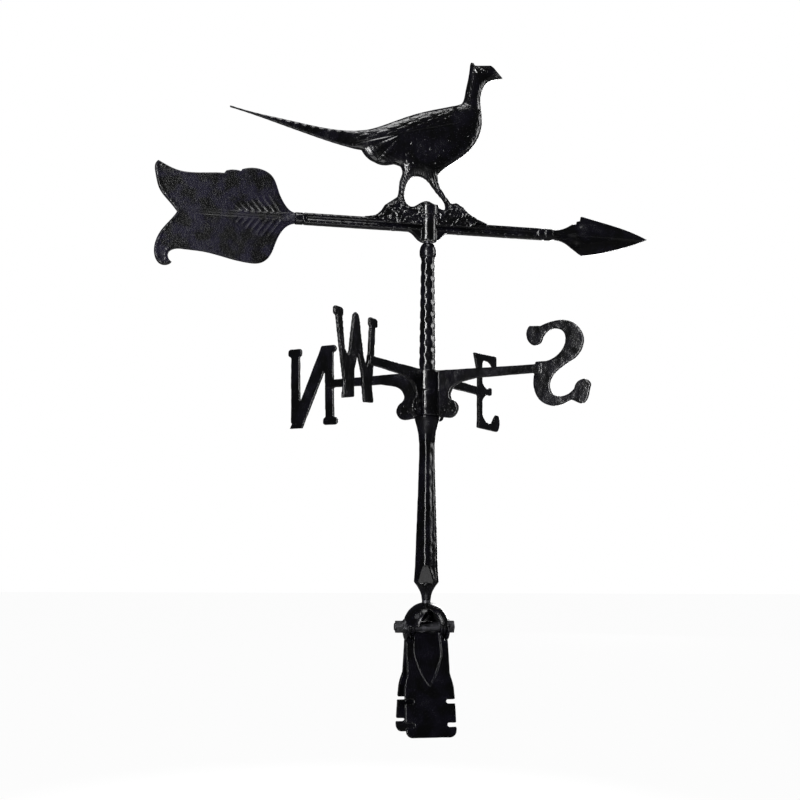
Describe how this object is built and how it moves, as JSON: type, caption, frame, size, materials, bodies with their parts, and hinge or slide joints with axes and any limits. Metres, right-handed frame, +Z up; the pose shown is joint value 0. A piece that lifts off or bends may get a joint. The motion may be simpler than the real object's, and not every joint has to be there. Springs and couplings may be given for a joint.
{
  "type": "weather vane",
  "caption": "Weather vane with a pheasant on a turning arrow, compass letters on a post and a two-legged hinged roof mount.",
  "frame": {"origin": "on the roof ridge line under the rod's axis, level with the lowest edges of the feet", "axes": "+Z up along the rod's axis, +X towards the arrow's tip and along the mount's pivot bolt, +Y to the back"},
  "size_m": [0.5736, 0.2983, 0.7645],
  "materials": {
    "black_casting": "gloss black powder coat on cast aluminium",
    "hammered_black": "gloss black coat on hammered cast aluminium",
    "black_fastener": "blackened steel",
    "rod_steel": "black coated steel",
    "ball_steel": "polished bearing steel",
    "nylon": "natural nylon"
  },
  "bodies": {
    "mount": {"mount_head": "black_casting", "mast_set_screw": "black_fastener", "pivot_bolt": "black_fastener", "flat_washers": "black_fastener", "lock_washer": "black_fastener", "clamp_tube": "rod_steel", "pivot_nut": "black_fastener"},
    "leg_front": {"front_leg": "black_casting"},
    "leg_back": {"back_leg": "black_casting"},
    "post": {"spindle_rod": "rod_steel", "lower_post": "hammered_black", "collar_screw": "black_fastener", "letters_north_south": "black_casting", "letters_east_west": "black_casting", "letter_screws": "black_fastener", "upper_tube": "hammered_black"},
    "vane": {"arrow_shaft": "black_casting", "bearing_sleeve": "nylon", "pivot_ball": "ball_steel", "arrow_tail": "black_casting", "arrow_head": "black_casting", "arrow_pins": "black_fastener", "pheasant": "black_casting", "figure_screws": "black_fastener"}
  },
  "joints": [
    {"name": "north_setting", "type": "hinge", "parent": "mount", "child": "post", "pos_m": [0, 0, 0.14], "axis": [0, 0, 1], "continuous": true},
    {"name": "arrow_spin", "type": "hinge", "parent": "post", "child": "vane", "pos_m": [0, 0, 0.56], "axis": [0, 0, 1], "continuous": true},
    {"name": "front_leg_pitch", "type": "hinge", "parent": "mount", "child": "leg_front", "pos_m": [0, 0, 0.115], "axis": [-1, 0, 0], "range_deg": [-4, 62]},
    {"name": "back_leg_pitch", "type": "hinge", "parent": "mount", "child": "leg_back", "pos_m": [0, 0, 0.115], "axis": [1, 0, 0], "range_deg": [-4, 62]}
  ]
}
